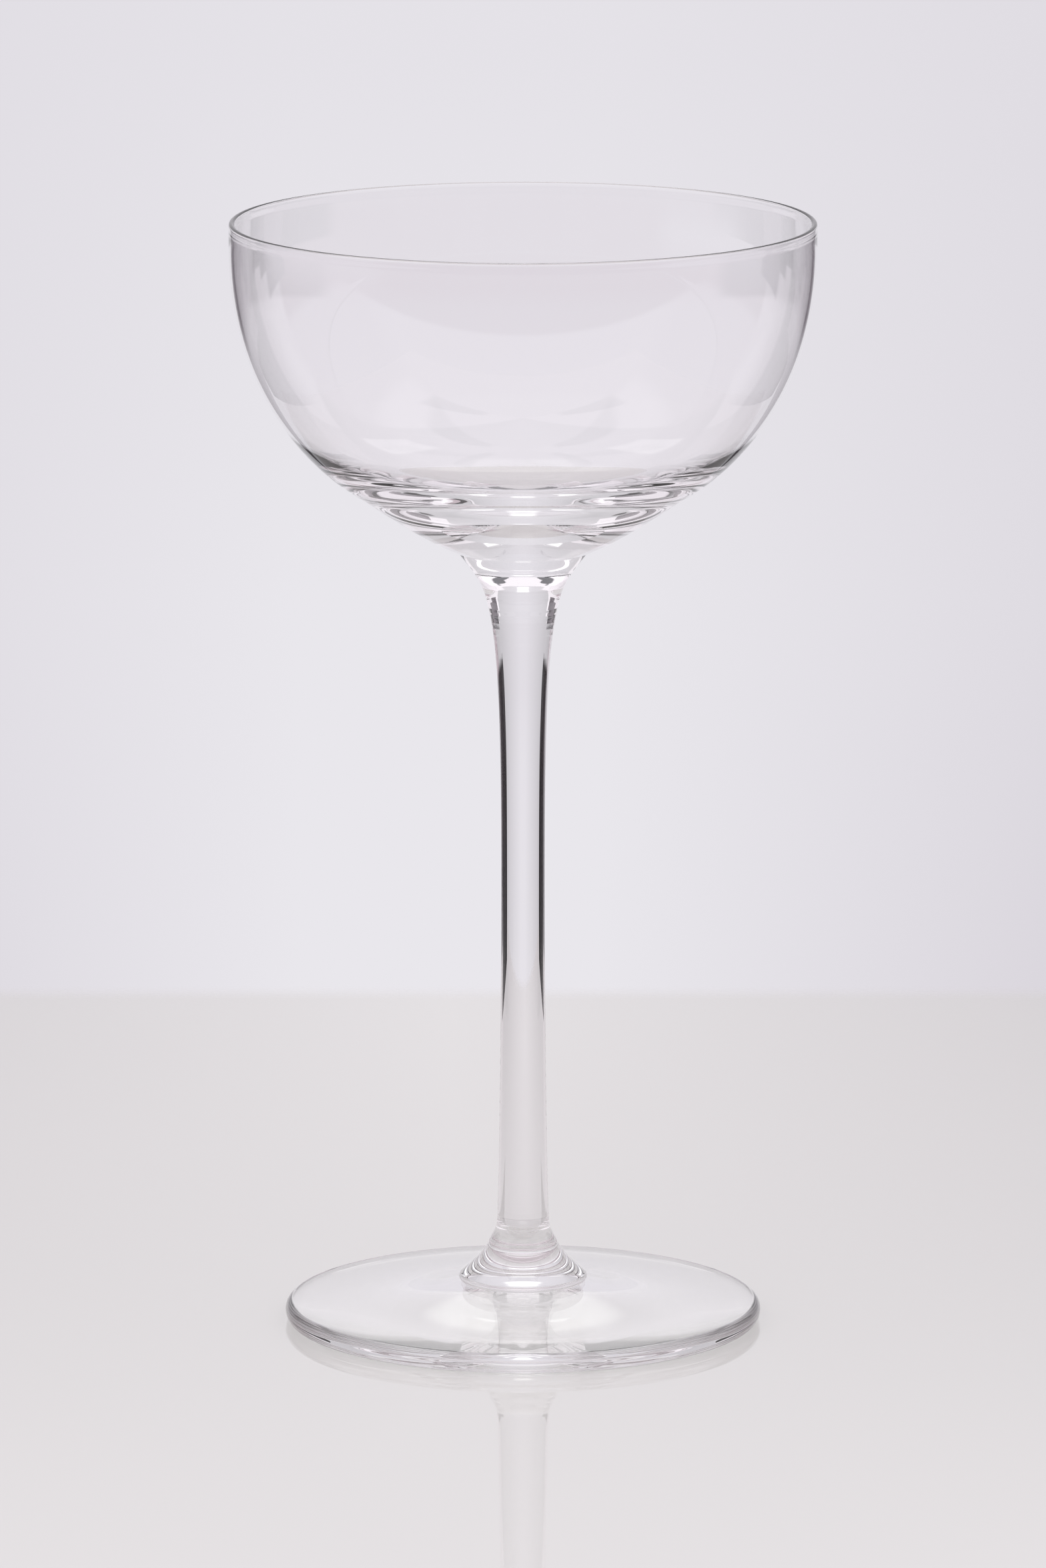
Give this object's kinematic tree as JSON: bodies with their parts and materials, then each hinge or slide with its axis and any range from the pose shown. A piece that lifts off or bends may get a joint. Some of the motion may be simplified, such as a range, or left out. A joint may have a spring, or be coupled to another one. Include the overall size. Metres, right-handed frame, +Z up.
{
  "type": "nick and nora glass",
  "caption": "Stemmed cocktail glass in clear glass: a deep round thin-walled bowl on a flared button, a long slim stem and a flat round foot with a flared post.",
  "frame": {"origin": "on the table, under the middle of the foot", "axes": "+Z up along the axis of the stem, towards the rim; the glass is the same all round, so +X and +Y are free"},
  "size_m": [0.0892, 0.0892, 0.1705],
  "materials": {
    "glass": "clear, colourless, fire-polished and glossy all over"
  },
  "bodies": {
    "root": {"foot_disc": "glass", "foot_post": "glass", "stem": "glass", "bowl_button": "glass", "bowl": "glass"}
  },
  "joints": []
}
